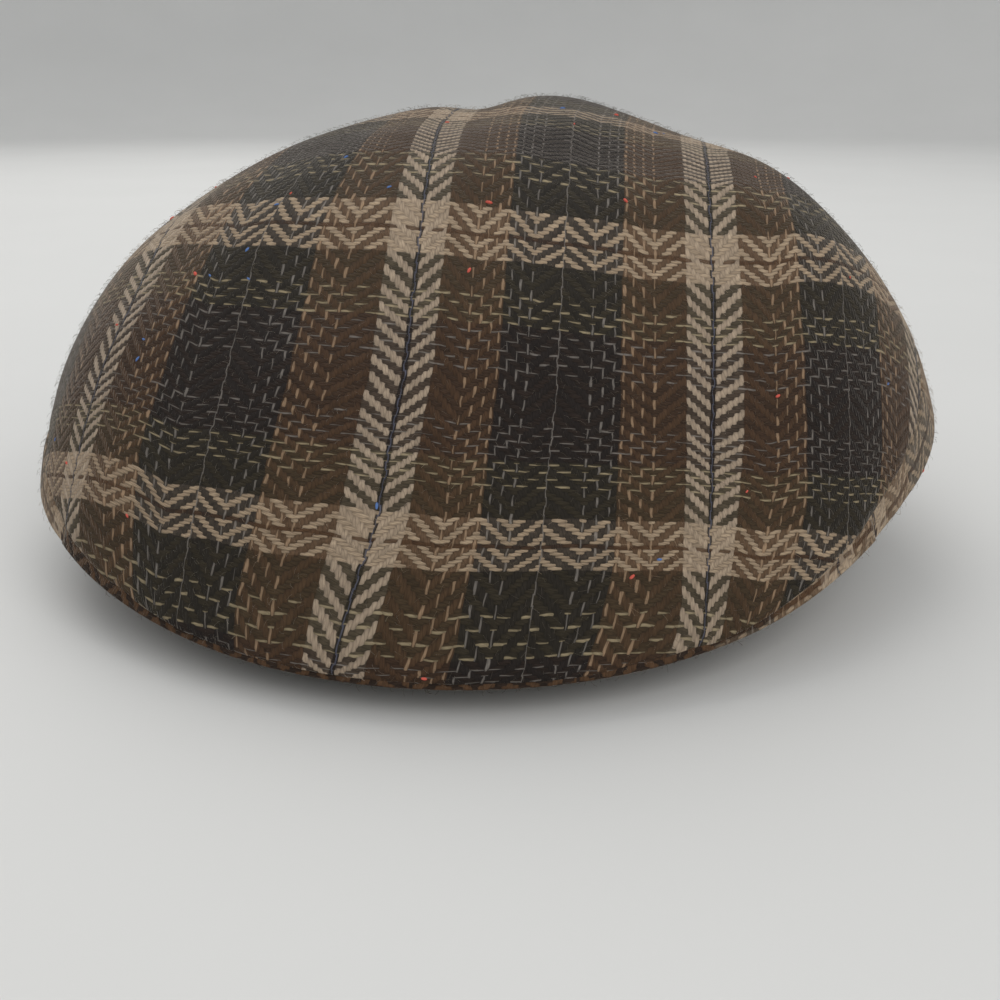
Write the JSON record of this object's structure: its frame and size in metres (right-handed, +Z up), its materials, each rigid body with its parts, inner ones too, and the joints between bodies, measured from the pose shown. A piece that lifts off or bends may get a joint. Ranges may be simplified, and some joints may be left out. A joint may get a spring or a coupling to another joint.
{
  "type": "flat cap",
  "caption": "Soft wool flat cap lying on its hem: a full rounded top panel over a stiff curved peak, side panels joined at the back, open head hollow below.",
  "frame": {"origin": "middle of the cap's outline in plan, on the surface that the hem lies on", "axes": "+Z up, -Y towards the peak's front edge, +X to the viewer's right when the peak faces the viewer"},
  "size_m": [0.257, 0.2712, 0.1216],
  "materials": {
    "plaid_top": "matte woollen herringbone plaid in browns, charcoal and cream",
    "plaid_side": "the same woollen plaid",
    "plaid_peak": "the same woollen plaid, mostly its brown"
  },
  "bodies": {
    "root": {"crown_top": "plaid_top", "side_left": "plaid_side", "side_right": "plaid_side", "peak": "plaid_peak"}
  },
  "joints": []
}
